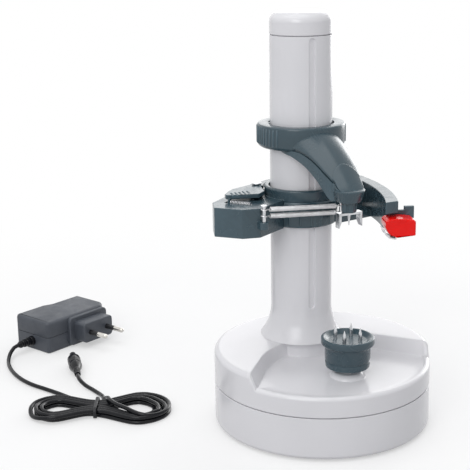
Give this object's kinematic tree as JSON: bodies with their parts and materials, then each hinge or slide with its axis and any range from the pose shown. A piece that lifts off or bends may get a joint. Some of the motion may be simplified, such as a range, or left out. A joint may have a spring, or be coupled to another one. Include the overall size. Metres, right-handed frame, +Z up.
{
  "type": "electric potato peeler",
  "caption": "Round motor base with a spiked turning cup, a tall column with a screw-driven peeling carriage and a height-adjustable food holder, and a plug-in mains adapter.",
  "frame": {"origin": "centre of the round base on the surface it stands on", "axes": "+Z up along the column, -Y from the column towards the food side, +X towards the peeling arm"},
  "size_m": [0.2632, 0.3439, 0.2815],
  "materials": {
    "white_shell": "glossy moulded shell",
    "teal_plastic": "satin moulded plastic",
    "red_plastic": "glossy moulded plastic",
    "nylon": "natural nylon",
    "black_plastic": "matt moulded plastic",
    "slate_case": "satin moulded case",
    "soft_black": "flexible black rubber",
    "steel": "bright steel",
    "nickel": "nickel plated",
    "brass": "turned brass"
  },
  "bodies": {
    "base": {"base_bottom_shell": "white_shell", "base_top_shell": "white_shell", "rubber_feet": "soft_black", "base_screws": "steel", "gearbox_plate": "nylon", "plate_screws": "steel", "gear_axles": "steel", "motor_can": "steel", "dc_jack": "black_plastic", "start_switch": "black_plastic", "button_spring": "steel", "column_tube": "white_shell", "column_cap": "white_shell", "screw_bush": "brass", "limit_switch": "black_plastic", "adapter_top": "slate_case", "adapter_bottom": "slate_case", "plug_block": "slate_case", "plug_pins": "nickel", "adapter_relief": "soft_black", "supply_lead": "soft_black", "lead_hank": "soft_black", "hank_tie": "black_plastic", "plug_lead": "soft_black", "dc_plug_grip": "soft_black", "dc_plug_barrel": "nickel"},
    "cup": {"food_cup": "teal_plastic", "cup_spikes": "steel", "cup_spindle": "steel", "cup_gear": "nylon"},
    "compound": {"compound_gear": "nylon"},
    "pinion": {"motor_pinion": "brass"},
    "idler": {"idler_gear": "nylon"},
    "screw": {"lead_screw": "steel", "screw_gear": "nylon"},
    "start_button": {"start_button": "teal_plastic"},
    "limit_lever": {"limit_lever": "steel"},
    "holder": {"upper_holder": "teal_plastic", "spindle_bush": "brass", "release_spring": "steel"},
    "upper_spindle": {"upper_spindle": "steel", "spindle_hub": "teal_plastic", "food_fork": "steel"},
    "release_button": {"release_button": "teal_plastic"},
    "carriage": {"carriage_body": "teal_plastic", "pivot_pins": "steel", "spring_pin": "steel", "lever_return": "steel", "tension_spring_upper": "steel", "tension_spring_lower": "steel"},
    "release_lever": {"release_lever": "teal_plastic", "half_nut": "brass"},
    "peeling_arm": {"peeling_arm": "teal_plastic", "arm_spring_pin": "steel", "blade_bracket": "teal_plastic", "blade_pin": "steel"},
    "blade_holder": {"blade_holder": "red_plastic", "peeling_blade": "steel"}
  },
  "joints": [
    {"name": "cup_spin", "type": "hinge", "parent": "base", "child": "cup", "pos_m": [0, -0.036, 0.0666], "axis": [0, 0, 1], "continuous": true},
    {"name": "compound_spin", "type": "hinge", "parent": "base", "child": "compound", "pos_m": [-0.029, -0.0283, 0.034], "axis": [0, 0, 1], "continuous": true},
    {"name": "pinion_spin", "type": "hinge", "parent": "base", "child": "pinion", "pos_m": [-0.03625, -0.0002, 0.034], "axis": [0, 0, 1], "continuous": true},
    {"name": "idler_spin", "type": "hinge", "parent": "base", "child": "idler", "pos_m": [0.00709, -0.0007, 0.038], "axis": [0, 0, 1], "continuous": true},
    {"name": "screw_spin", "type": "hinge", "parent": "base", "child": "screw", "pos_m": [0, 0.0305, 0.1], "axis": [0, 0, 1], "continuous": true},
    {"name": "start_button_press", "type": "slide", "parent": "base", "child": "start_button", "axis": [-0.5299, -0.848, 0], "range_m": [0, 0.0018], "stiffness_N_per_m": 300, "springref_m": -0.002, "deforming": ["button_spring"]},
    {"name": "limit_lever_tilt", "type": "hinge", "parent": "base", "child": "limit_lever", "pos_m": [-0.0057, 0.04, 0.0734], "axis": [0, 1, 0], "range_deg": [0, 12], "stiffness_Nm_per_rad": 0.01, "springref_deg": -5.73},
    {"name": "holder_height", "type": "slide", "parent": "base", "child": "holder", "axis": [0, 0, 1], "range_m": [-0.01, 0.052]},
    {"name": "upper_spin", "type": "hinge", "parent": "holder", "child": "upper_spindle", "pos_m": [0, -0.036, 0.16], "axis": [0, 0, 1], "continuous": true},
    {"name": "release_button_press", "type": "slide", "parent": "holder", "child": "release_button", "axis": [-1, 0, 0], "range_m": [0, 0.003], "stiffness_N_per_m": 250, "springref_m": -0.002, "deforming": ["release_spring"]},
    {"name": "carriage_travel", "type": "slide", "parent": "base", "child": "carriage", "axis": [0, 0, 1], "range_m": [-0.066, 0.016]},
    {"name": "release_lever_swing", "type": "hinge", "parent": "carriage", "child": "release_lever", "pos_m": [-0.026, 0.048, 0.16], "axis": [0, 0, 1], "range_deg": [0, 6], "stiffness_Nm_per_rad": 0.6, "springref_deg": -8.59, "deforming": ["lever_return"]},
    {"name": "peeling_arm_swing", "type": "hinge", "parent": "carriage", "child": "peeling_arm", "pos_m": [0.043, 0.03, 0.15], "axis": [0, 0, 1], "range_deg": [-6, 28], "stiffness_Nm_per_rad": 0.12, "deforming": ["tension_spring_upper", "tension_spring_lower"]},
    {"name": "blade_rock", "type": "hinge", "parent": "peeling_arm", "child": "blade_holder", "pos_m": [0.031, -0.047, 0.148], "axis": [0.3338, 0.9426, 0], "range_deg": [-12, 12]}
  ],
  "couplings": [
    {"joint": "compound_spin", "follows": "cup_spin", "ratio": -4},
    {"joint": "pinion_spin", "follows": "cup_spin", "ratio": 19.2},
    {"joint": "idler_spin", "follows": "cup_spin", "ratio": -2},
    {"joint": "screw_spin", "follows": "cup_spin", "ratio": 1.2}
  ]
}
